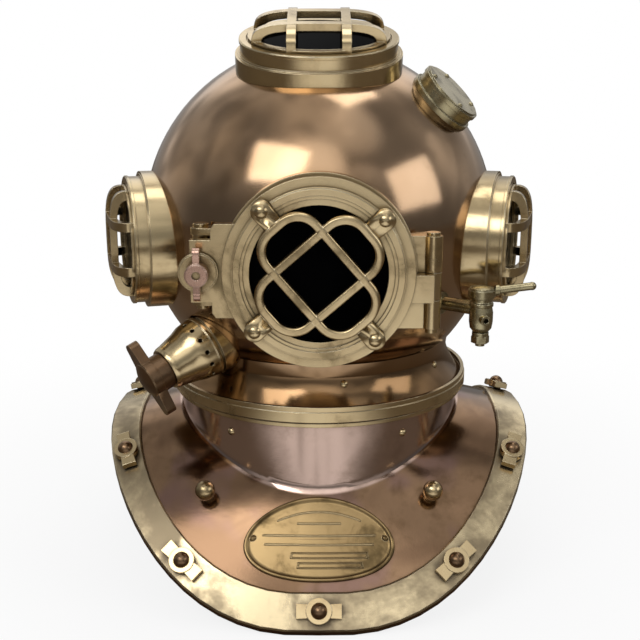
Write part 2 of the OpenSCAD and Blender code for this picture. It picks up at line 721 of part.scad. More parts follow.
// Swing bolt with its hub between the ears, washer and wing nut
washer_gap = 1.2;
washer_t = 3.2;
washer_y = lug_front_y - bolt_pivot_y + washer_gap;
nut_body_t = 11;
bolt_l = washer_y + washer_t + nut_body_t - 2.2;
module along_bolt(y) {
    at_bolt_pivot() translate([0, -y, 0]) rotate([90, 0, 0]) children();
}
module swing_bolt() {
    hub = ear_gap - run_gap;
    color(brass) difference() {
        union() {
            at_bolt_pivot() translate([0, 0, -hub]) cylinder(r = 6.3, h = 2 * hub, $fn = 48);
            along_bolt(0) cylinder(r = bolt_r, h = bolt_l, $fn = 40);
        }
        at_bolt_pivot() translate([0, 0, -hub - 1]) cylinder(r = pivot_r + fit_gap, h = 2 * hub + 2, $fn = 32);
    }
}
module clamp_washer() {
    color(brass) along_bolt(washer_y) difference() {
        union() {
            cylinder(r = washer_r, h = washer_t - 1);
            cylinder(r = washer_r - 1.2, h = washer_t);
        }
        translate([0, 0, -1]) cylinder(r = bolt_r + fit_gap, h = washer_t + 2, $fn = 40);
    }
}
module wing_nut() {
    color([0.66, 0.47, 0.40]) along_bolt(washer_y + washer_t + 0.1) difference() {
        union() {
            cylinder(r = 8.3, h = nut_body_t - 0.8);
            cylinder(r = 7.5, h = nut_body_t);
            for (s = [-1, 1]) translate([0, s * (wing_l - 4), 6]) rotate([0, 90, 0])
                translate([0, 0, -2.4]) cylinder(r = 4, h = 4.8, $fn = 40);
            translate([-2.4, -wing_l + 4, 2.5]) cube([4.8, 2 * wing_l - 8, 7]);
        }
        translate([0, 0, -1]) cylinder(r = bolt_r + fit_gap, h = nut_body_t - 1, $fn = 40);
        cylinder(r = 3, h = nut_body_t + 1, $fn = 32);
    }
}

// Exhaust valve: its axis leaves the lower left of the dome, forwards and down
exhaust_at = [0, 0, dome_z] + (dome_r - 2.733) * unit([-84, -82, -83]);
exhaust_dir = [-0.755, -0.55, -0.355];
exhaust_bore_r = 14;
module along(dir) {
    n = unit(dir);
    rotate([0, acos(n[2]), atan2(n[1], n[0])]) children();
}
module at_exhaust() {
    translate(exhaust_at) along(exhaust_dir) children();
}
seam_h = 9;
mouth_h = seam_h + exhaust_l;
module exhaust_seat() {
    color(brass) difference() {
        at_exhaust() union() {
            translate([0, 0, -40]) cylinder(r = exhaust_r + 0.5, h = 40 + seam_h - 2);
            translate([0, 0, seam_h - 2]) cylinder(r = exhaust_r - 1.5, h = 2);
        }
        bonnet_body(-0.1);
        at_exhaust() translate([0, 0, -50]) cylinder(r = exhaust_bore_r, h = 80);
    }
}
module exhaust_body() {
    neck = 15;
    color(brass) at_exhaust() difference() {
        rotate_extrude() polygon([
            [0, seam_h], [exhaust_r, seam_h], [exhaust_r, seam_h + 2], [exhaust_r - 0.6, seam_h + 2.6],
            [exhaust_r - 2, seam_h + 12], [exhaust_r - 4.6, seam_h + 19], [neck + 3, mouth_h - 6],
            [neck + 2.4, mouth_h - 2], [neck + 1.4, mouth_h], [0, mouth_h]
        ]);
        rotate_extrude() polygon([
            [0, seam_h - 1], [exhaust_r - 3.5, seam_h - 1], [exhaust_r - 5, seam_h + 12],
            [exhaust_r - 8, seam_h + 19], [neck - 1, mouth_h - 6], [0, mouth_h - 6]
        ]);
        translate([0, 0, mouth_h - 8]) cylinder(r = stem_r + 3, h = 10, $fn = 32);
        for (i = [0 : exhaust_holes - 1]) rotate([0, 0, 360 / exhaust_holes * i])
            translate([exhaust_r - 12, 0, seam_h + 7.5]) rotate([0, 82, 0])
                cylinder(r = exhaust_hole_r, h = 20, $fn = 24);
    }
}
stem_r = 3;
stem_travel = 4;
disc_z = seam_h + run_gap;
disc_t = 3;
spring_l = mouth_h - 6 - stem_travel - 1 - disc_z - disc_t;
module exhaust_spring() {
    color(bronze) at_exhaust() translate([0, 0, disc_z + disc_t + 0.1]) difference() {
        cylinder(r = 11, h = spring_l);
        translate([0, 0, -1]) cylinder(r = 9.6, h = spring_l + 2);
    }
}
handle_z = mouth_h + run_gap;
handle_t = 7;
wing_turn = 22;
wing_tip_r = 5.2;
wing_root = 11;
module exhaust_handle() {
    color(bronze) at_exhaust() {
        translate([0, 0, handle_z]) cylinder(r = 14.5, h = 10);
        translate([0, 0, handle_z + 10]) cylinder(r = 15, h = handle_t);
        translate([0, 0, handle_z + 10 + handle_t]) intersection() {
            cylinder(r = 14, h = 6);
            translate([0, 0, -25]) sphere(r = 29);
        }
        // two blunt wings, narrower towards their tips
        for (side = [0, 180]) rotate([0, 0, wing_turn + side]) translate([0, 0, handle_z + 9]) {
            translate([handle_l / 2 - wing_tip_r, 0, 0]) cylinder(r = wing_tip_r, h = handle_t + 1);
            linear_extrude(handle_t + 1) polygon([
                [0, -wing_root], [handle_l / 2 - wing_tip_r, -wing_tip_r],
                [handle_l / 2 - wing_tip_r, wing_tip_r], [0, wing_root]
            ]);
        }
    }
}
module exhaust_disc() {
    color(leather) at_exhaust() translate([0, 0, disc_z]) difference() {
        cylinder(r = exhaust_bore_r + 3, h = disc_t);
        translate([0, 0, -1]) cylinder(r = stem_r, h = disc_t + 2, $fn = 32);
    }
}
chin_z = -46;
module chin_button() {
    color(brass) at_exhaust() {
        translate([0, 0, chin_z]) cylinder(r = stem_r, h = disc_z + disc_t + 1 - chin_z, $fn = 32);
        translate([0, 0, chin_z - 5]) cylinder(r = 11, h = 5);
        translate([0, 0, disc_z + disc_t]) cylinder(r = 9, h = 1.5);
    }
}

// Spitcock: pipe, body, turning plug with its round lever, bottom nut
spit_dir = unit([30.5, -24, 0]);
spit_root = [0, 0, dome_z] + (dome_r - 1.065) * unit([89.5, -105, -46]);
module at_spit_pipe() {
    translate(spit_root) along(spit_dir) children();
}
module at_spit() {
    translate(spit_root + spit_reach * spit_dir) children();
}
plug_r = 5;
module spitcock_body() {
    color(bronze) difference() {
        union() {
            at_spit_pipe() translate([0, 0, -20]) cylinder(r = 5.2, h = 20 + spit_reach, $fn = 48);
            at_spit_pipe() translate([0, 0, -20]) cylinder(r = 8.5, h = 26, $fn = 48);
            at_spit() rotate_extrude() polygon([
                [0, -17], [5.5, -17], [8, -14], [8.8, -9], [8.8, -2], [8, 2], [8.8, 3], [8.8, 5],
                [7.6, 6], [7.6, 8.5], [0, 8.5]
            ]);
            // small outlet that looks forwards
            at_spit() translate([-1, 0, -6]) rotate([90, 0, 12]) cylinder(r = 3.6, h = 13, $fn = 32);
        }
        translate([0, 0, dome_z]) sphere(r = dome_r + 0.02, $fn = 200);
        at_spit() translate([0, 0, -18]) cylinder(r = plug_r + fit_gap, h = 30, $fn = 48);
        at_spit() translate([-1, 0, -6]) rotate([90, 0, 12]) translate([0, 0, 6]) cylinder(r = 2, h = 10, $fn = 32);
        at_spit_pipe() translate([0, 0, -25]) cylinder(r = 2.5, h = 20 + spit_reach, $fn = 32);
    }
}
module spitcock_plug() {
    color(bronze) at_spit() {
        translate([0, 0, -21]) cylinder(r = plug_r, h = 30, $fn = 48);
        translate([0, 0, 8.5 + run_gap]) cylinder(r = spit_cap_r - 1, h = 7.5);
        translate([0, 0, 8.5 + run_gap + 1.2]) cylinder(r = spit_cap_r, h = 5);
        translate([0, 0, 15.5]) intersection() {
            cylinder(r = 8, h = 4);
            translate([0, 0, -18]) sphere(r = 20.5);
        }
    }
}
module spitcock_nut() {
    color(bronze) at_spit() translate([0, 0, -17 - run_gap - 8]) difference() {
        union() {
            cylinder(r = 6.8, h = 5, $fn = 6);
            translate([0, 0, 4.9]) cylinder(r = 6.2, h = 3.1, $fn = 48);
            translate([0, 0, -2.5]) cylinder(r = 3.5, h = 3, $fn = 32);
        }
        translate([0, 0, 4]) cylinder(r = plug_r + 0.01, h = 5, $fn = 48);
    }
}
module spitcock_lever() {
    color(bronze) at_spit() difference() {
        translate([0, 0, 13]) rotate([0, 83, 0]) {
            translate([0, 0, spit_cap_r - 2]) cylinder(r = 2.9, h = spit_lever_l - spit_cap_r + 2, $fn = 32);
            translate([0, 0, spit_lever_l]) sphere(r = 3.1, $fn = 32);
            translate([0, 0, spit_cap_r - 2]) cylinder(r = 4, h = 4.8, $fn = 32);
        }
        translate([0, 0, 5]) cylinder(r = spit_cap_r + 0.02, h = 20);
    }
}

// Telephone cup on the wearer's left, high and to the rear of the side port
cup_dir = [0.66, -0.3, 0.69];
module at_cup() {
    translate([0, 0, dome_z]) along(cup_dir) translate([0, 0, dome_r]) children();
}
module telephone_cup() {
    color(brass) difference() {
        at_cup() union() {
            translate([0, 0, -8]) cylinder(r = cup_r, h = 8 + cup_h - 4);
            translate([0, 0, -8]) cylinder(r = cup_r + 2, h = 9.5);
        }
        translate([0, 0, dome_z]) sphere(r = dome_r + 0.02, $fn = 200);
        at_cup() translate([0, 0, -10]) cylinder(r = cup_r - 4, h = 60);
    }
}
module telephone_cover() {
    color(brass) at_cup() {
        translate([0, 0, cup_h - 4]) cylinder(r = cup_r + 1, h = 3.4);
        translate([0, 0, cup_h - 0.6]) cylinder(r = cup_r - 1, h = 1.2);
        for (i = [0 : 3]) rotate([0, 0, 45 + 90 * i]) translate([cup_r - 5, 0, cup_h + 0.6]) rivet_head(2);
    }
}

// Goosenecks at the back for air and telephone line
elbow_turn = 33;
elbow_rise = 10;
elbow_out = 20;
elbow_drop = 22;
module at_elbow(s) {
    translate([0, 0, dome_z + 22]) rotate([0, 0, 90 + s * elbow_turn]) rotate([0, 90 - elbow_rise, 0])
        translate([0, 0, dome_r - 3]) children();
}
module elbow_solid(r) {
    cylinder(r = r, h = elbow_out);
    translate([0, 0, elbow_out]) sphere(r = r + 0.8, $fn = 48);
    translate([0, 0, elbow_out]) rotate([0, 62, 0]) cylinder(r = r, h = elbow_drop - 2);
}
module gooseneck(s) {
    color(brass) difference() {
        union() {
            at_elbow(s) {
                translate([0, 0, -8]) cylinder(r = 19, h = 14);
                translate([0, 0, -8]) cylinder(r = 15, h = 18);
                elbow_solid(11.5);
                translate([0, 0, elbow_out]) rotate([0, 62, 0]) translate([0, 0, elbow_drop - 7])
                    cylinder(r = elbow_end_r + 2.5, h = 5, $fn = 6);
                translate([0, 0, elbow_out]) rotate([0, 62, 0]) translate([0, 0, elbow_drop - 2])
                    cylinder(r = elbow_end_r - 2, h = 14);
            }
        }
        translate([0, 0, dome_z]) sphere(r = dome_r + 0.02, $fn = 200);
        at_elbow(s) {
            translate([0, 0, -20]) cylinder(r = elbow_bore_r, h = 20 + elbow_out, $fn = 48);
            translate([0, 0, elbow_out]) sphere(r = elbow_bore_r + 0.9, $fn = 48);
            translate([0, 0, elbow_out]) rotate([0, 62, 0]) cylinder(r = elbow_bore_r, h = 50, $fn = 48);
        }
    }
}
module air_elbow() { gooseneck(-1); }
module comms_elbow() { gooseneck(1); }
module at_elbow_end(s) {
    at_elbow(s) translate([0, 0, elbow_out]) rotate([0, 62, 0]) translate([0, 0, elbow_drop - 2]) children();
}
module air_union() {
    color(brass) at_elbow_end(-1) difference() {
        union() {
            translate([0, 0, 0.1]) cylinder(r = elbow_end_r + 4, h = 12, $fn = 6);
            translate([0, 0, 12]) cylinder(r = elbow_end_r + 1.5, h = 4);
            translate([0, 0, 15.9]) cylinder(r = elbow_end_r, h = 14);
        }
        translate([0, 0, -1]) cylinder(r = elbow_end_r - 2 + fit_gap, h = 15.1);
        cylinder(r = elbow_bore_r, h = 40, $fn = 48);
    }
}
module comms_cap() {
    color(brass) at_elbow_end(1) difference() {
        union() {
            translate([0, 0, 0.1]) cylinder(r = elbow_end_r + 1, h = 16);
            translate([0, 0, 16]) cylinder(r = elbow_end_r - 2, h = 2);
        }
        translate([0, 0, -1]) cylinder(r = elbow_end_r - 2 + 2 * fit_gap, h = 15.2);
    }
}

// Safety catch at the back: hinged above the neck ring, it drops beside a stop on the breastplate
catch_z = ledge_z + 13;
catch_y = flare_r + 6;
module lock_bracket() {
    color(brass) difference() {
        union() {
            for (s = [-1, 1]) translate([s * 8.5 - 2, flare_r - 9, ledge_z + 6]) cube([4, 15, 14]);
            for (s = [-1, 1]) translate([s * 8.5 - 2, catch_y, catch_z]) rotate([0, 90, 0]) cylinder(r = 6, h = 4, $fn = 40);
            translate([-12, flare_r - 9, ledge_z + 4.3]) cube([24, 12, 3]);
        }
        bonnet_body(-0.3);
        translate([-20, catch_y, catch_z]) rotate([0, 90, 0]) cylinder(r = 2 + fit_gap, h = 40, $fn = 32);
    }
}
module lock_pin() {
    color(brass) translate([-12, catch_y, catch_z]) rotate([0, 90, 0]) {
        cylinder(r = 2, h = 24, $fn = 32);
        cylinder(r = 3.2, h = 1.4, $fn = 32);
        translate([0, 0, 22.6]) cylinder(r = 3.2, h = 1.4, $fn = 32);
    }
}
module lock_catch() {
    color(brass) difference() {
        union() {
            translate([-6, catch_y, catch_z]) rotate([0, 90, 0]) cylinder(r = 5.5, h = 12, $fn = 40);
            translate([-5, catch_y - 3, catch_z]) cube([10, 6, 26]);
            translate([0, catch_y - 3, catch_z + 26]) rotate([-90, 0, 0]) cylinder(r = 7.5, h = 6, $fn = 40);
        }
        translate([-20, catch_y, catch_z]) rotate([0, 90, 0]) cylinder(r = 2 + fit_gap, h = 40, $fn = 32);
    }
}

breastplate();
breastplate_neck_ring();
neck_gasket();
brim_band();
brim_studs();
brim_nuts();
name_plate();
name_plate_pins();
ball_studs();
breastplate_rivets();
bonnet_shell();
bonnet_neck_ring();
bonnet_rivets();
front_port_seat();
hinge_pin();
swing_bolt_pin();
top_port_seat();
top_port_gasket();
top_port_glass();
top_port_ring();
top_port_guard();
left_port_seat();
left_port_gasket();
left_port_glass();
left_port_ring();
left_port_guard();
right_port_seat();
right_port_gasket();
right_port_glass();
right_port_ring();
right_port_guard();
telephone_cup();
telephone_cover();
air_elbow();
air_union();
comms_elbow();
comms_cap();
exhaust_seat();
exhaust_body();
exhaust_spring();
exhaust_handle();
exhaust_disc();
chin_button();
spitcock_body();
spitcock_nut();
spitcock_plug();
spitcock_lever();
door_frame();
door_gasket();
door_glass();
door_ring();
door_guard();
door_screws();
swing_bolt();
clamp_washer();
wing_nut();
lock_bracket();
lock_catch();
lock_pin();
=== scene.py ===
import json
import math

import bmesh
import bpy
import numpy as np
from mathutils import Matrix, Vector


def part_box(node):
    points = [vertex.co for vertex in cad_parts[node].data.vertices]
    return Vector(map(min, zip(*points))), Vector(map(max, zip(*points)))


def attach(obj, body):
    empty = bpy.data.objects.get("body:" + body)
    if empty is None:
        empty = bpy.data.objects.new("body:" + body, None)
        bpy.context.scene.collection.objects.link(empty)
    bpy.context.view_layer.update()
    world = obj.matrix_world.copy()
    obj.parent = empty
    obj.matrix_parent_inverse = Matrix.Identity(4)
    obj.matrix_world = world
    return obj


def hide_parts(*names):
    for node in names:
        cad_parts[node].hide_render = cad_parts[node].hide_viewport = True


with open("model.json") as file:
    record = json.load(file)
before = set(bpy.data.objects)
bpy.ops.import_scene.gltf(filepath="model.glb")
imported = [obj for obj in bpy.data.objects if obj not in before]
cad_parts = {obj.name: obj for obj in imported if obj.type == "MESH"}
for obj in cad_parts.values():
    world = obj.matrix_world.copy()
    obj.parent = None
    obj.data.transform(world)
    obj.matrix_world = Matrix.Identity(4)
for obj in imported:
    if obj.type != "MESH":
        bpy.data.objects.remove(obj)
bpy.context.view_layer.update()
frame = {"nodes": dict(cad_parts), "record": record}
nodes = frame["nodes"]
print("frame loaded:", len(nodes), "pieces")

# camera first: the photograph's own viewpoint, worked out from the dome and the round door
view = {
    "place": (0.0, -0.8404, 0.4112),   # metres
    "pitchDown": 14.46,                # degrees below the horizon
    "lens": 55.73,                     # mm
    "sensor": 36.0,                    # mm across
    "shiftX": 0.0016,
    "clip": (0.01, 60.0),              # metres
}


# looks level along Y from the front, then down by the pitch
def makeCamera(cfg):
    data = bpy.data.cameras.new("viewCamera")
    data.lens, data.sensor_width, data.shift_x = cfg["lens"], cfg["sensor"], cfg["shiftX"]
    data.clip_start, data.clip_end = cfg["clip"]
    cam = bpy.data.objects.new("viewCamera", data)
    cam.location = cfg["place"]
    cam.rotation_euler = (math.radians(90.0 - cfg["pitchDown"]), 0.0, 0.0)
    bpy.context.collection.objects.link(cam)
    bpy.context.scene.camera = cam


makeCamera(view)
bpy.context.scene.view_settings.view_transform = "Standard"


# shader maths: a socket that can be added, multiplied and so on
class Wire:
    def __init__(self, paint, socket):
        self.paint, self.socket = paint, socket

    def maths(self, kind, *values):
        return self.paint.add("ShaderNodeMath", dict(enumerate(values)), operation=kind)

    def __add__(self, other):
        return self.maths("ADD", self, other)

    __radd__ = __add__

    def __sub__(self, other):
        return self.maths("SUBTRACT", self, other)

    def __rsub__(self, other):
        return self.maths("SUBTRACT", other, self)

    def __neg__(self):
        return 0.0 - self

    def __mul__(self, other):
        return self.maths("MULTIPLY", self, other)

    __rmul__ = __mul__

    def __pow__(self, other):
        return self.maths("POWER", self, other)

    def __abs__(self):
        return self.maths("ABSOLUTE", self)

    def least(self, other):
        return self.maths("MINIMUM", self, other)

    def most(self, other):
        return self.maths("MAXIMUM", self, other)

    def span(self, low, high):  # 0 up to low, 1 from high on, an S-shaped rise between
        return self.paint.add("ShaderNodeMapRange", {0: self, 1: low, 2: high, 3: 0.0, 4: 1.0},
                              interpolation_type="SMOOTHSTEP")


# the nodes of one material, or of the world
class Paint:
    def __init__(self, owner):
        self.owner = owner
        owner.use_nodes = True
        self.tree = owner.node_tree
        self.tree.nodes.clear()

    # one node: its settings first, then a value or a Wire for each socket; gives one output back
    def add(self, kind, values=None, out=0, **settings):
        made = self.tree.nodes.new(kind)
        for key, value in settings.items():
            setattr(made, key, value)
        for key, value in (values or {}).items():
            socket = made.inputs[key]
            if isinstance(value, Wire):
                self.tree.links.new(value.socket, socket)
            elif socket.type == "RGBA":
                socket.default_value = (*value, 1.0)
            else:
                socket.default_value = value
        return Wire(self, made.outputs[out]) if len(made.outputs) else None

    def place(self):
        return self.add("ShaderNodeTexCoord", out="Object")

    def stretched(self, scale):
        return self.add("ShaderNodeMapping", {"Vector": self.place(), "Scale": scale})

    def noise(self, scale, detail, rough, where=None, warp=0.0):
        return self.add("ShaderNodeTexNoise", {"Vector": where or self.place(), "Scale": scale,
                                               "Detail": detail, "Roughness": rough,
                                               "Distortion": warp})

    def axes(self, vector):
        node = self.add("ShaderNodeSeparateXYZ", {0: vector}).socket.node
        return [Wire(self, socket) for socket in node.outputs]

    def rays(self, *kinds):
        node = self.add("ShaderNodeLightPath").socket.node
        return [Wire(self, node.outputs[f"Is {kind} Ray"]) for kind in kinds]

    # darkness from ambient occlusion: painted shade in hollows, which also stands for tarnish there
    def hollowTarnishAndShade(self, reach):
        return 1.0 - self.add("ShaderNodeAmbientOcclusion", {"Distance": reach}, "AO", samples=6)

    def mixed(self, share, a, b):
        return self.add("ShaderNodeMix", {0: share, 6: a, 7: b}, 2,
                        data_type="RGBA", clamp_factor=True)

    def relief(self, height, strength, distance, **more):
        return self.add("ShaderNodeBump", {"Strength": strength, "Distance": distance,
                                           "Height": height, **more})

    def finish(self, **sockets):
        named = {name.replace("_", " "): value for name, value in sockets.items()}
        self.add("ShaderNodeOutputMaterial", {0: self.add("ShaderNodeBsdfPrincipled", named)})
        return self.owner


def newPaint(name):
    return Paint(bpy.data.materials.new(name))


# what all the brasses and bronzes share
metalWork = {
    "dull": 0.42,                      # roughness where the tarnish is full
    "hollow": 0.008,                   # metres that tarnish and painted shade reach out of a hollow
    "edge": 0.0007,                    # metres of an edge painted bright, as wear and as a painted highlight
    "grain": 900.0,
    "brushed": (70.0, 70.0, 1500.0),   # fine marks that run round the object
    "scratch": 0.35,
    "bump": (0.05, 0.0006),            # strength, metres
}

metals = {
    "brass": {
        "clean": (0.60, 0.47, 0.27), "warm": (0.50, 0.375, 0.205),
        "tarnish": (0.17, 0.125, 0.062), "bright": (0.86, 0.75, 0.53),
        "name": "agedBrass", "patch": 15.0, "tarnished": 0.42, "gloss": 0.16,
    },
    "brass_band": {
        "clean": (0.66, 0.54, 0.335), "warm": (0.56, 0.44, 0.265),
        "tarnish": (0.15, 0.118, 0.078), "bright": (0.90, 0.80, 0.60),
        "name": "bandBrass", "patch": 13.0, "tarnished": 0.78, "gloss": 0.18,
    },
    "name_brass": {
        "clean": (0.34, 0.235, 0.110), "warm": (0.26, 0.175, 0.078),
        "tarnish": (0.085, 0.058, 0.026), "bright": (0.66, 0.53, 0.32),
        "name": "plateBrass", "patch": 36.0, "tarnished": 0.55, "gloss": 0.28,
    },
    "dark_bronze": {
        "clean": (0.24, 0.150, 0.085), "warm": (0.19, 0.118, 0.066),
        "tarnish": (0.075, 0.048, 0.030), "bright": (0.45, 0.32, 0.19),
        "name": "darkBronze", "patch": 26.0, "tarnished": 0.40, "gloss": 0.26,
    },
    "olive_brass": {
        "clean": (0.42, 0.36, 0.215), "warm": (0.33, 0.28, 0.165),
        "tarnish": (0.12, 0.10, 0.058), "bright": (0.68, 0.62, 0.43),
        "name": "oliveBrass", "patch": 30.0, "tarnished": 0.50, "gloss": 0.24,
    },
    "red_brass": {
        "clean": (0.56, 0.36, 0.275), "warm": (0.47, 0.29, 0.22),
        "tarnish": (0.20, 0.12, 0.09), "bright": (0.80, 0.62, 0.52),
        "name": "redBrass", "patch": 30.0, "tarnished": 0.35, "gloss": 0.24,
    },
}


# metal: noise mixes the clean and the warm tone, stains tarnish it, hollows take tarnish and
# painted shade, and an edge, where the rounded normal leaves the true one, is painted bright as
# wear and as a painted highlight; tarnish, grain and marks take the gloss
def metalFinish(cfg):
    p = newPaint(cfg["name"])
    broad = p.noise(cfg["patch"], 5.0, 0.6, warp=0.6)
    small = p.noise(cfg["patch"] * 5.5, 5.0, 0.62)
    grain = p.noise(metalWork["grain"], 2.0, 0.5)
    brushed = p.noise(1.0, 3.0, 0.6, p.stretched(metalWork["brushed"]))
    hollowTarnishAndShade = p.hollowTarnishAndShade(metalWork["hollow"])
    rounded = p.add("ShaderNodeBevel", {"Radius": metalWork["edge"]}, samples=4)
    flat = p.add("ShaderNodeNewGeometry", out="Normal")
    same = p.add("ShaderNodeVectorMath", {0: rounded, 1: flat}, "Value", operation="DOT_PRODUCT")
    # edges painted bright: wear together with a painted highlight
    rubbedAndHighlit = ((1.0 - same) * 9.0 * (0.45 + small)).span(0.1, 0.9)
    tarnished = cfg["tarnished"]
    stain = (broad * 0.78 + small * 0.22).span(0.66 - tarnished * 0.32, 0.80 - tarnished * 0.25)
    # dark: the stains, plus tarnish together with painted shade in the hollows
    dark = (stain * 0.75 + hollowTarnishAndShade.span(0.12, 0.75) * 0.85).least(1.0)
    worn = broad.span(0.40, 0.62) * 0.8 + (small - 0.5) * 0.5
    aged = p.mixed(dark * (1.0 - rubbedAndHighlit * 0.8), p.mixed(worn, cfg["clean"], cfg["warm"]),
                   cfg["tarnish"])
    marks = (grain * 0.5 + brushed * 0.5 - 0.5) * metalWork["scratch"]
    rough = cfg["gloss"] + dark * (metalWork["dull"] - cfg["gloss"]) + marks * 0.22 + small * 0.06
    height = grain * 0.4 + small * 0.8 + brushed * 0.5
    return p.finish(Base_Color=p.mixed(rubbedAndHighlit * 0.75, aged, cfg["bright"]), Metallic=1.0,
                    Roughness=rough.most(0.06),
                    Normal=p.relief(height, *metalWork["bump"], Normal=rounded))


# what both coppers share
copperWork = {
    "grain": 1100.0,
    "hollow": 0.012,                   # metres that tarnish and painted shade reach out of a hollow
    "bump": (0.06, 0.001),             # strength, metres
}


# gloss lost to tarnish and broken by grain, and a gently uneven surface
def copperSurface(p, cfg, colour, dark, cloud, small):
    grain = p.noise(copperWork["grain"], 2.0, 0.5)
    rough = cfg["gloss"] + dark * (cfg["dull"] - cfg["gloss"]) + small * 0.07 + (grain - 0.5) * 0.05
    return p.finish(Base_Color=colour, Metallic=1.0, Roughness=rough,
                    Normal=p.relief(grain * 0.35 + small * 1.2 + cloud * 3.0,
                                    *copperWork["bump"]))


domeCopper = {
    "clean": (0.52, 0.355, 0.225), "warm": (0.42, 0.270, 0.155),
    "tarnish": (0.23, 0.130, 0.055), "bright": (0.66, 0.51, 0.33),
    "patch": 7.5, "gloss": 0.10, "dull": 0.25,
    "stains": (0.56, 0.76),            # level of the clouds where a stain begins, and is full
    "foot": (0.172, 0.204),            # metres up: darkened below the first, clear above the second
    "specks": 420.0,
}


# the dome's copper: clouds mix two tones, it is darker towards its foot, stains darken it, tarnish
# with painted shade darkens its hollows, and specks shine
def domeFinish(cfg):
    p = newPaint("copperDome")
    cloud = p.noise(cfg["patch"], 3.0, 0.5, warp=0.9)
    small = p.noise(cfg["patch"] * 6.0, 6.0, 0.62)
    speck = p.noise(cfg["specks"], 3.0, 0.6)
    stain = (cloud * 0.7 + small * 0.3).span(*cfg["stains"])
    # dark: the stains, plus tarnish together with painted shade in the hollows
    dark = (stain * 0.8 + p.hollowTarnishAndShade(copperWork["hollow"]).span(0.15, 0.8) * 0.8).least(1.0)
    # darker towards the bottom of the dome, by height alone
    foot = 1.0 - p.axes(p.place())[2].span(*cfg["foot"])
    body = p.mixed(cloud.span(0.34, 0.62), cfg["warm"], cfg["clean"])
    body = p.mixed(foot * 0.8, body, cfg["tarnish"])
    aged = p.mixed(dark, body, cfg["tarnish"])
    colour = p.mixed(speck.span(0.70, 0.82) * 0.35, aged, cfg["bright"])
    return copperSurface(p, cfg, colour, dark, cloud, small)


plateCopper = {
    "clean": (0.26, 0.160, 0.093), "warm": (0.175, 0.104, 0.060), "violet": (0.200, 0.120, 0.103),
    "polishedSheen": (0.60, 0.44, 0.37), "tarnish": (0.120, 0.070, 0.034),
    "patch": 11.0, "gloss": 0.09, "dull": 0.23,
    "collarEdge": (0.1215, 0.1235),    # metres from the axis: collar inside, plate outside
}


# the breastplate's copper is browner and more clouded, and its upright collar is paler: polished,
# and with a painted sheen
def plateFinish(cfg):
    p = newPaint("copperPlate")
    x, y, _ = p.axes(p.place())
    collar = 1.0 - ((x * x + y * y) ** 0.5).span(*cfg["collarEdge"])
    cloud = p.noise(cfg["patch"], 3.0, 0.5, warp=1.2)
    small = p.noise(cfg["patch"] * 6.0, 6.0, 0.62)
    tint = p.noise(cfg["patch"] * 1.7, 2.0, 0.5)
    stain = (cloud * 0.6 + small * 0.4).span(0.50, 0.68) * 0.75 * (1.0 - collar * 0.6)
    # dark: the stains, plus tarnish together with painted shade in the hollows
    dark = (stain + p.hollowTarnishAndShade(copperWork["hollow"]).span(0.15, 0.8) * 0.8).least(1.0)
    body = p.mixed(cloud.span(0.36, 0.60), cfg["warm"], cfg["clean"])
    body = p.mixed(tint.span(0.50, 0.66) * 0.7, body, cfg["violet"])
    # the collar painted paler: its polish together with a painted sheen
    body = p.mixed(collar * 0.85, body, cfg["polishedSheen"])
    return copperSurface(p, cfg, p.mixed(dark, body, cfg["tarnish"]), dark, cloud, small)


# leather, rubber and glass: one noise mixes two tones and shifts the gloss, a finer one is raised
def plainFinish(name, low, high, rough, scale, bump=0.2, **more):
    p = newPaint(name)
    tone = p.noise(scale, 6.0, 0.6)
    fine = p.noise(scale * 9.0, 3.0, 0.6)
    return p.finish(Base_Color=p.mixed(tone.span(0.35, 0.65), low, high), Metallic=0.0,
                    Roughness=rough + (tone - 0.5) * 0.12,
                    Normal=p.relief(fine + tone, bump, 0.0005), **more)


finishes = {
    "copper_dome": domeFinish(domeCopper),
    "copper_plate": plateFinish(plateCopper),
    **{slot: metalFinish(cfg) for slot, cfg in metals.items()},
    "leather": plainFinish("oiledLeather", (0.10, 0.055, 0.030), (0.19, 0.110, 0.060), 0.62, 60.0),
    "rubber": plainFinish("blackRubber", (0.016, 0.016, 0.017), (0.030, 0.029, 0.028), 0.66, 70.0),
    "dark_glass": plainFinish("darkGlass", (0.0006, 0.0006, 0.0007), (0.0020, 0.0020, 0.0022),
                              0.07, 6.0, bump=0.01, Specular_IOR_Level=0.05, IOR=1.08),
}
print("finishes made:", len(finishes))


# shading of the carried-over pieces
shading = {
    "joinWithin": 0.000004,            # metres
    "sharpAbove": 32.0,                # degrees
    "ownFinish": {"telephone_cup": "olive_brass", "telephone_cover": "olive_brass"},
    # cast pieces with softened edges: width of the softening in metres
    "castEdges": {"exhaust_handle": 0.0022, "wing_nut": 0.0007, "spitcock_lever": 0.0004},
    "castAbove": 40.0,                 # degrees; only edges sharper than this
    "castSteps": 4,
}


# equal points joined and faces smooth, with edges sharper than the limit kept
def smoothGroup(joinWithin, limit):
    tree = bpy.data.node_groups.new("softShade", "GeometryNodeTree")
    for way in ("INPUT", "OUTPUT"):
        tree.interface.new_socket("Mesh", in_out=way, socket_type="NodeSocketGeometry")
    start, end = tree.nodes.new("NodeGroupInput"), tree.nodes.new("NodeGroupOutput")
    join = tree.nodes.new("GeometryNodeMergeByDistance")
    join.inputs["Distance"].default_value = joinWithin
    faces, edges = (tree.nodes.new("GeometryNodeSetShadeSmooth") for _ in range(2))
    faces.domain, edges.domain = "FACE", "EDGE"
    angle = tree.nodes.new("GeometryNodeInputMeshEdgeAngle")
    sharp = tree.nodes.new("FunctionNodeCompare")
    sharp.operation = "GREATER_THAN"
    sharp.inputs["B"].default_value = limit
    edges.inputs["Shade Smooth"].default_value = False
    link = tree.links.new
    link(start.outputs[0], join.inputs[0])
    link(join.outputs[0], faces.inputs[0])
    link(faces.outputs[0], edges.inputs[0])
    link(angle.outputs[0], sharp.inputs["A"])
    link(sharp.outputs[0], edges.inputs["Selection"])
    link(edges.outputs[0], end.inputs[0])
    return tree


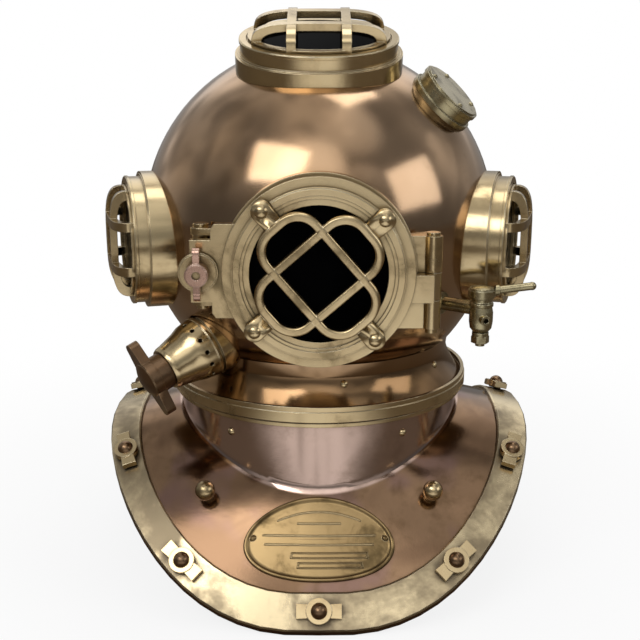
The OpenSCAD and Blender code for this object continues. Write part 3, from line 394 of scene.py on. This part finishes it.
# every carried-over piece gets its slot's finish, or one of its own, and the soft shading
def dressNodes(cfg):
    softShade = smoothGroup(cfg["joinWithin"], math.radians(cfg["sharpAbove"]))
    slotOf = {s["node"]: s["material_slot"] for s in frame["record"]["subparts"]}
    for name, obj in nodes.items():
        obj.data.materials.clear()
        obj.data.materials.append(finishes[cfg["ownFinish"].get(name, slotOf[name])])
        obj.modifiers.new("softShade", "NODES").node_group = softShade
    for name, width in cfg["castEdges"].items():
        soften = nodes[name].modifiers.new("softEdges", "BEVEL")
        soften.width, soften.segments = width, cfg["castSteps"]
        soften.limit_method, soften.angle_limit = "ANGLE", math.radians(cfg["castAbove"])


dressNodes(shading)
print("carried-over pieces finished")


# mesh from a grid of points, rows by columns: each row is a closed ring, and closeRows joins the
# last row to the first
def gridMesh(name, points, material, closeRows=False):
    rows, columns = points.shape[:2]
    index = np.arange(rows * columns).reshape(rows, columns)
    down = np.vstack([index, index[:1]]) if closeRows else index
    across = np.hstack([down, down[:, :1]])
    quads = np.stack([across[:-1, :-1], across[:-1, 1:], across[1:, 1:], across[1:, :-1]], -1)
    mesh = bpy.data.meshes.new(name)
    mesh.from_pydata(points.reshape(-1, 3).tolist(), [], quads.reshape(-1, 4).tolist())
    mesh.polygons.foreach_set("use_smooth", np.full(len(mesh.polygons), True))
    mesh.update()
    mesh.materials.append(material)
    obj = bpy.data.objects.new(name, mesh)
    bpy.context.collection.objects.link(obj)
    return obj


# parts made one object, with every face turned outwards
def joined(name, parts):
    bpy.ops.object.select_all(action="DESELECT")
    for part in parts:
        part.select_set(True)
    whole = parts[0]
    bpy.context.view_layer.objects.active = whole
    bpy.ops.object.join()
    whole.name = name
    work = bmesh.new()
    work.from_mesh(whole.data)
    bmesh.ops.recalc_face_normals(work, faces=work.faces)
    work.to_mesh(whole.data)
    work.free()
    return whole


# door guard: two oblong loops that cross, each a bevelled bar carried round, a tab at every screw
doorGuard = {
    "halfWidth": 0.0223,     # from the loop's axis to the middle of its long bars
    "halfLength": 0.0455,
    "corner": 0.0170,
    "bar": 0.0070,           # width of a bar
    "level": 0.60,           # share of that width which is level on top
    "height": 0.0062,
    "overlap": 0.03,         # how much higher one loop runs over the other, as a share
    "stands": 0.0006,        # from the door ring's front to the back of the bars
    "turn": 4.0,             # degrees clockwise
    "screw": 0.0605,         # from the door's centre to a screw
    "tab": 0.0074,           # radius of a tab's round end
    "tabRoot": 0.92,         # its half width at the loop, as a share of that
    "tabTop": 0.80,          # its height, as a share of the bars'
    "slant": 0.0007,
    "footDepth": 0.0060,     # of the disc under a tab, behind the back of the bars
    "footHeight": 0.0062,
}


# path of a loop: corner arcs of radius r joined by straights, cut into steps of about the spacing
def oblongPath(w, l, r, arcPoints=14, spacing=0.002):
    f = np.linspace(0, math.pi / 2, arcPoints)
    arcs = []
    for k, (sx, sy) in enumerate(((1, 1), (-1, 1), (-1, -1), (1, -1))):
        g = f + k * math.pi / 2
        arcs.append(np.stack([sx * (l - r) + r * np.cos(g), sy * (w - r) + r * np.sin(g)], -1))
    corners = np.concatenate(arcs)
    gaps = np.roll(corners, -1, 0) - corners
    count = np.maximum(1, np.round(np.linalg.norm(gaps, axis=1) / spacing)).astype(int)
    start = np.repeat(np.arange(len(corners)), count)
    share = np.concatenate([np.arange(c) / c for c in count])
    return corners[start] + gaps[start] * share[:, None]


# a bar's section, across and out: upright flanks, sloping shoulders, level top, corners cut by
# about r
def barProfile(cfg, r=0.0005):
    w, h = cfg["bar"] / 2, cfg["height"]
    top = w * cfg["level"]
    half = [(-w + r, 0.0), (-w, r), (-w, h * 0.55), (-w * 0.97, h * 0.62), (-top - r, h - r * 0.4),
            (-top + r, h)]
    return np.array(half + [(-x, y) for x, y in reversed(half)])


# points turned about the door's own axis, which runs along Y
def turned(x, y, z, angle):
    c, s = math.cos(angle), math.sin(angle)
    return np.stack([x * c - z * s, y, x * s + z * c], -1)


# at each point of the path the section goes its across along the path's normal, and its out
# towards -Y; the whole loop is then turned about the door's axis
def barLoop(name, path, profile, centre, turn, material):
    tangent = np.roll(path, -1, 0) - np.roll(path, 1, 0)
    tangent /= np.linalg.norm(tangent, axis=1)[:, None]
    across = np.stack([-tangent[:, 1], tangent[:, 0]], -1)
    flat = path[:, None, :] + across[:, None, :] * profile[None, :, :1]
    x, z = flat[..., 0], flat[..., 1]
    y = -np.broadcast_to(profile[None, :, 1], x.shape)
    return gridMesh(name, turned(x, y, z, turn) + centre, material, closeRows=True)


# a tongue from the loop's end to past the screw: half a circle and two straight sides, carried up,
# in by the slant at its top edge, then in over the top until the sides all but meet
def tabPiece(name, cfg, centre, turn, material, hair=0.0001):
    f = np.linspace(-math.pi / 2, math.pi / 2, 22)
    top, slant = cfg["height"] * cfg["tabTop"], cfg["slant"]
    rows = []
    for inset, h in ((0.0, 0.0), (0.0, top - slant), (slant, top), (cfg["tab"] - hair, top)):
        r = cfg["tab"] - inset
        x = np.concatenate([cfg["screw"] + r * np.cos(f), [cfg["halfLength"] + hair] * 2])
        z = np.concatenate([r * np.sin(f), [r * cfg["tabRoot"], -r * cfg["tabRoot"]]])
        rows.append(turned(x, np.full(x.shape, -h), z, turn))
    return gridMesh(name, np.stack(rows) + centre, material)


# a profile of radius and height turned about an axis: radius times a unit ring square to the axis,
# plus height times the axis
def lathe(name, profile, origin, axis, count, material):
    a = np.asarray(axis, float) / np.linalg.norm(axis)
    side = np.cross(a, (0.0, 0.0, 1.0) if abs(a[2]) < 0.9 else (1.0, 0.0, 0.0))
    side /= np.linalg.norm(side)
    other = np.cross(a, side)
    t = np.linspace(0, 2 * math.pi, count, endpoint=False)
    ring = np.cos(t)[:, None] * side + np.sin(t)[:, None] * other
    radius, height = np.array(profile, float).T[..., None, None]
    return gridMesh(name, radius * ring[None] + height * a + origin, material)


# two loops a quarter turn apart, one a little higher, and at each screw a tab with a disc under it
def makeDoorGuard(cfg):
    brass = finishes["brass"]
    low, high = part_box("door_guard")
    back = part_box("door_ring")[0][1] - cfg["stands"]
    centre = np.array([0.0, back, (low[2] + high[2]) / 2])
    path = oblongPath(cfg["halfWidth"], cfg["halfLength"], cfg["corner"])
    profile = barProfile(cfg)
    turns = [math.radians(45 - cfg["turn"] + 90 * i) for i in range(4)]
    parts = [barLoop(f"loop{i}", path, profile * (1.0, 1.0 + cfg["overlap"] * i), centre, turns[i],
                     brass) for i in range(2)]
    parts += [tabPiece(f"tab{i}", cfg, centre, turn, brass) for i, turn in enumerate(turns)]
    foot = [(0, 0), (cfg["tab"], 0), (cfg["tab"], cfg["footHeight"]), (0, cfg["footHeight"])]
    for i, turn in enumerate(turns):
        at = centre + turned(cfg["screw"], cfg["footDepth"], 0.0, turn)
        parts.append(lathe(f"foot{i}", foot, at, (0, -1, 0), 40, brass))
    guard = joined("doorGuard", parts)
    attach(guard, "door")
    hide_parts("door_guard")


makeDoorGuard(doorGuard)
print("door guard made")


# breastplate surface in mm, the same form as the copper: t runs from 0 at the neck seam to 1 at the
# edge, and a is the angle round from the front
plate = {
    "neck": 119.0, "halfWidth": 178.0, "halfDepth": 185.6, "shoulder": 114.0, "seamFront": 88.0,
    "seamSide": 131.0, "power": 2.51, "saddle": 2.24, "drop": 1.2, "bead": 2.6, "slopePower": 1.12,
}


# size of v to the power p, with the sign of v, so that all four quarters of the edge match
def signedPower(v, p, least=1e-6):
    return np.sign(v) * np.maximum(np.abs(v), least) ** p


# the edge in plan is a superellipse; its height falls from the shoulders to the table
def plateEdge(a):
    x = plate["halfWidth"] * signedPower(np.sin(a), 2 / plate["power"])
    y = -plate["halfDepth"] * signedPower(np.cos(a), 2 / plate["power"])
    fall = 1 - np.abs(y / plate["halfDepth"]) ** plate["saddle"]
    return x, y, np.maximum(0.0, (plate["shoulder"] + plate["drop"]) * fall - plate["drop"])


# height of the neck seam: low at front and back, rising to the sides with the square of the sine
def plateSeam(a):
    return plate["seamFront"] + (plate["seamSide"] - plate["seamFront"]) * np.sin(a) ** 2


# straight in plan from the neck circle to the edge, dropping a little faster outwards
def plateSkin(t, a):
    x, y, z = plateEdge(a)
    seam = plateSeam(a)
    down = np.maximum(t, 0.0) ** plate["slopePower"]
    return np.stack([(1 - t) * plate["neck"] * np.sin(a) + t * x,
                     -(1 - t) * plate["neck"] * np.cos(a) + t * y,
                     seam + (z + plate["bead"] - seam) * down], -1)


# unit normal: cross product of the surface's small steps along t and a
def plateNormal(t, a, step=0.004):
    along = plateSkin(t + step, a) - plateSkin(np.maximum(t - step, 0.0), a)
    around = plateSkin(t, a + step) - plateSkin(t, a - step)
    n = np.cross(along, around)
    return n / np.linalg.norm(n, axis=-1)[..., None]


# a point h mm above the surface, in metres
def plateAbove(t, a, h):
    return (plateSkin(t, a) + plateNormal(t, a) * np.asarray(h)[..., None]) / 1000.0


# the t at which the surface is z mm high: plateSkin's height solved for t
def plateAt(a, z):
    low = plateEdge(a)[2]
    seam = plateSeam(a)
    return ((seam - z) / (seam - low - plate["bead"])) ** (1 / plate["slopePower"])


# dark bronze domes on the winged nuts, square to the band
studDomes = {
    "angles": (0, 33, 67, 100, 128, 153, 180, -153, -128, -100, -67, -33),   # degrees round
    "bandWidth": 27.0,       # mm; the studs stand on its middle
    "above": 8.35,           # mm from the copper to the foot of a dome
    "radius": 6.32,          # mm
    "rise": (-0.12, math.pi / 2 - 0.02),   # radians, from just below the foot to almost the top
}


# half a sphere on each stud: a ring of radius r cos e at height r sin e, for angle e over the rise
def makeStudDomes(cfg):
    a = np.radians(np.array(cfg["angles"], float))
    x, y, z = plateEdge(a)
    slope = np.hypot(np.hypot(x, y) - plate["neck"], plateSeam(a) - z - plate["bead"])
    t = 1 - 0.5 * cfg["bandWidth"] / slope
    foot = plateAbove(t, a, cfg["above"])
    up = plateNormal(t, a)
    side = np.cross(up, (0.0, 0.0, 1.0))
    side /= np.linalg.norm(side, axis=1)[:, None]
    other = np.cross(up, side)
    e = np.linspace(*cfg["rise"], 12)[:, None, None]
    f = np.linspace(0, 2 * math.pi, 32, endpoint=False)[None, :, None]
    r = cfg["radius"] / 1000.0
    parts = []
    for k in range(len(a)):
        ring = np.cos(f) * side[k] + np.sin(f) * other[k]
        parts.append(gridMesh(f"dome{k}", foot[k] + r * (np.cos(e) * ring + np.sin(e) * up[k]),
                              finishes["dark_bronze"]))
    piece = joined("studDomes", parts)
    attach(piece, "breastplate")


makeStudDomes(studDomes)
print("stud domes made")


# name plate with a raised rim and, where such a plate carries stamped lines, plain bars and blank
# fields; all in mm, but what goes across is counted at the wrap radius, so the copper, which is
# farther out, carries it 1.13 times as wide: 116 mm in all
namePlate = {
    "halfWidth": 51.5, "halfHeight": 32.6,
    "middle": 57.5,          # height of its centre above the table
    "wrap": 150.0,           # an arc of this radius turns a measure across into an angle
    "slant": 0.78,           # rise for each mm up the plate
    "rim": ((0.0, 0.3), (0.0, 2.3), (0.35, 2.9), (1.1, 3.25), (2.1, 3.2), (2.8, 2.6), (3.1, 2.1),
            (5.0, 2.1), (10.0, 2.1), (18.0, 2.1), (26.0, 2.1), (32.5, 2.1)),   # inwards, lift
    # across, up, width, height, arch
    "fields": ((7.0, -12.6, 46.0, 4.8, 0.0), (7.0, -20.2, 36.0, 4.8, 0.0)),
    "bars": ((0.0, 21.0, 62.0, 1.2, 0.0075), (0.0, 12.0, 30.0, 1.2, 0.0),
             (0.0, 2.6, 78.0, 1.2, 0.0), (0.0, -4.4, 72.0, 1.2, 0.0)),
    "base": 2.1,             # the plate's thickness
    "frame": 1.0,            # width of the line round a field
    "height": 0.55, "sunk": 0.4,
    "pinAt": 45.5, "pin": ((0.0, 1.5), (1.2, 1.25), (2.1, 0.6), (2.5, -0.2)),   # radius, lift
}


# a point of the name plate: its place across and up, and how far it stands off the copper
def onNamePlate(u, v, lift):
    a = u / namePlate["wrap"]
    return plateAbove(plateAt(a, namePlate["middle"] + v * namePlate["slant"]), a, lift)


# points round an oblong of half width w and half height h, 24 along and 6 up each side
def oblongOutline(w, h, along=24, upright=6):
    s = np.linspace(0, 1, along + 1)[:-1]
    side = np.linspace(-h, h, upright + 1)[:-1]
    u = np.concatenate([-w + 2 * w * s, np.full(upright, w), w - 2 * w * s, np.full(upright, -w)])
    v = np.concatenate([np.full(along, -h), side, np.full(along, h), -side])
    return u, v


# rim and face are ellipses carried inwards; a field's frame goes up outside, in over the top and
# down inside, and a bar is such a frame whose top closes at its middle; a pin is a low dome
def makeNamePlate(cfg, hair=0.01):
    brass = finishes["name_brass"]
    f = np.linspace(0, 2 * math.pi, 144, endpoint=False)
    inwards, lift = np.array(cfg["rim"]).T[..., None]
    u = (cfg["halfWidth"] - inwards) * np.cos(f)
    v = (cfg["halfHeight"] - inwards) * np.sin(f)
    parts = [gridMesh("oval", onNamePlate(u, v, lift), brass)]
    for k, (across, up, w, h, arch) in enumerate(cfg["fields"] + cfg["bars"]):
        inset = cfg["frame"] if k < len(cfg["fields"]) else h / 2 - hair
        loops = []
        for off, rise in ((0, -cfg["sunk"]), (0, cfg["height"]), (inset, cfg["height"]),
                          (inset, -cfg["sunk"])):
            u, v = oblongOutline(w / 2 - off, max(h / 2 - off, hair))
            loops.append(onNamePlate(across + u, up + v - arch * u ** 2, cfg["base"] + rise))
        parts.append(gridMesh(f"field{k}", np.stack(loops), brass, closeRows=True))
    r, lift = np.array(cfg["pin"]).T[..., None]
    for side in (-1, 1):
        u, v = side * cfg["pinAt"] + r * np.cos(f[::6]), r * np.sin(f[::6])
        parts.append(gridMesh("pin", onNamePlate(u, v, cfg["base"] + lift), brass))
    piece = joined("namePlate", parts)
    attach(piece, "breastplate")
    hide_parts("name_plate", "name_plate_pins")


makeNamePlate(namePlate)
print("name plate made")


floorLook = {
    "half": 9.0,                       # metres
    "matt": (0.93, 0.93, 0.93),
    "mirrored": (0.16, 0.13, 0.10),    # what the metal sees of it beside and behind the object
    "near": (0.22, 0.75),              # metres from the middle where near ends, and far begins
    "white": 0.84,                     # share of plain white near the object; far out it is 1
    "ahead": (0.24, 0.36),             # metres to the front where the metal sees it bright
    "aside": (0.14, 0.42),             # metres to each side where that ends
    "streaks": (12.0, 1.5, 1.0),
}


# white to the camera, less so near the object, where its shadow shows; to reflections it is dark,
# but for streaks of white straight ahead of the object
def makeFloor(cfg):
    h = cfg["half"]
    mesh = bpy.data.meshes.new("floor")
    mesh.from_pydata([(-h, -h, 0), (h, -h, 0), (h, h, 0), (-h, h, 0)], [], [(0, 1, 2, 3)])
    floor = bpy.data.objects.new("floor", mesh)
    bpy.context.collection.objects.link(floor)
    p = newPaint("paleFloor")
    white = p.add("ShaderNodeEmission", {"Color": (1.0, 1.0, 1.0), "Strength": 1.0})
    matt = p.add("ShaderNodeBsdfDiffuse", {"Color": cfg["matt"]})
    dark = p.add("ShaderNodeBsdfDiffuse", {"Color": cfg["mirrored"]})
    where = p.place()
    far = p.add("ShaderNodeVectorMath", {0: where}, "Value", operation="LENGTH")
    across, back, _ = p.axes(where)
    ahead = (-back).span(*cfg["ahead"]) * (1.0 - abs(across).span(*cfg["aside"]))
    streaks = p.noise(1.0, 2.0, 0.5, p.stretched(cfg["streaks"])).span(0.36, 0.52)
    dim = p.add("ShaderNodeMixShader", {0: ahead * (0.45 + streaks * 0.55), 1: dark, 2: white})
    camera, glossy = p.rays("Camera", "Glossy")
    seen = camera * (cfg["white"] + far.span(*cfg["near"]) * (1.0 - cfg["white"]))
    shown = p.add("ShaderNodeMixShader", {0: seen, 1: matt, 2: white})
    both = p.add("ShaderNodeMixShader", {0: glossy, 1: shown, 2: dim})
    p.add("ShaderNodeOutputMaterial", {0: both})
    mesh.materials.append(p.owner)


# levels of what the metal sees around the object
surroundings = {
    "room": 0.11,            # where there is nothing else
    "ceiling": 0.62, "behind": 0.80, "window": 0.75, "glow": 0.50, "low": 0.60,
    "flanks": 0.22,          # wall to the left and right, towards the back
    "fill": 0.62,            # plain light from all round, for all that isn't a reflection
}


# white to the camera; reflections see a dim room with a cloudy ceiling that is dimmer at its
# flanks, a bright wall behind, a low light in front, a window high in front and a glow beside it
def makeWorld(cfg):
    if bpy.context.scene.world is None:
        bpy.context.scene.world = bpy.data.worlds.new("studio")
    p = Paint(bpy.context.scene.world)
    direction = p.add("ShaderNodeTexCoord", out="Generated")
    across, back, up = p.axes(direction)
    aside, ahead = abs(across), -back
    cloud = p.noise(2.1, 2.0, 0.5, direction, warp=0.4).span(0.44, 0.60)
    wide = aside.span(0.25, 0.75) * ahead.span(-0.3, 0.2)
    flank = aside.span(0.18, 0.42) * up.span(0.66, 0.82)
    ceiling = up.span(0.12, 0.62) * (0.32 + cloud * 0.68) * (1.0 - wide.most(flank) * 0.60)
    behind = back.span(-0.1, 0.7) * up.span(-0.25, 0.2) * (0.30 + cloud * 0.5)
    window = (up * 0.65 - back * 0.75 - across * 0.08).span(0.90, 0.985)   # nearness to a direction
    glow = (up * 0.90 - back * 0.33 + across * 0.28).span(0.93, 0.99)
    low = ahead.span(0.55, 0.95) * (-up).span(-0.35, 0.05)
    level = (cfg["room"] + ceiling * cfg["ceiling"] + behind * cfg["behind"]
             + window * cfg["window"] + low * cfg["low"] + glow * cfg["glow"])
    sides = aside.span(0.42, 0.60) * back.span(0.10, 0.35) * up.span(0.20, 0.40)
    level = level * (1.0 - sides) + sides * (cfg["flanks"] + cloud * cfg["flanks"])
    camera, transmission, glossy = p.rays("Camera", "Transmission", "Glossy")
    seen = camera.most(transmission)
    strength = seen + (1.0 - seen) * (glossy * level + (1.0 - glossy) * cfg["fill"])
    sky = p.add("ShaderNodeBackground", {"Color": (1.0, 1.0, 1.0), "Strength": strength})
    p.add("ShaderNodeOutputWorld", {0: sky})


# soft oblong lamps, all aimed at the helmet's middle: power in watts, place and width in metres
lamps = {
    "key": {"power": 9.0, "place": (-0.8, -1.3, 1.6), "size": 1.15},
    "side": {"power": 4.0, "place": (1.6, -0.7, 1.0), "size": 1.1},
    "top": {"power": 5.0, "place": (0.2, 0.3, 2.0), "size": 1.0},
}


def makeLamp(name, power, place, size, aim=(0.0, 0.0, 0.24), heightShare=0.7):
    data = bpy.data.lights.new(name, "AREA")
    data.energy, data.shape = power, "RECTANGLE"
    data.size, data.size_y = size, size * heightShare
    lamp = bpy.data.objects.new(name, data)
    lamp.location = place
    towards = Vector(aim) - Vector(place)
    lamp.rotation_euler = towards.to_track_quat("-Z", "Y").to_euler()
    bpy.context.collection.objects.link(lamp)


makeFloor(floorLook)
makeWorld(surroundings)
for name, cfg in lamps.items():
    makeLamp(name, **cfg)
print("studio lit")
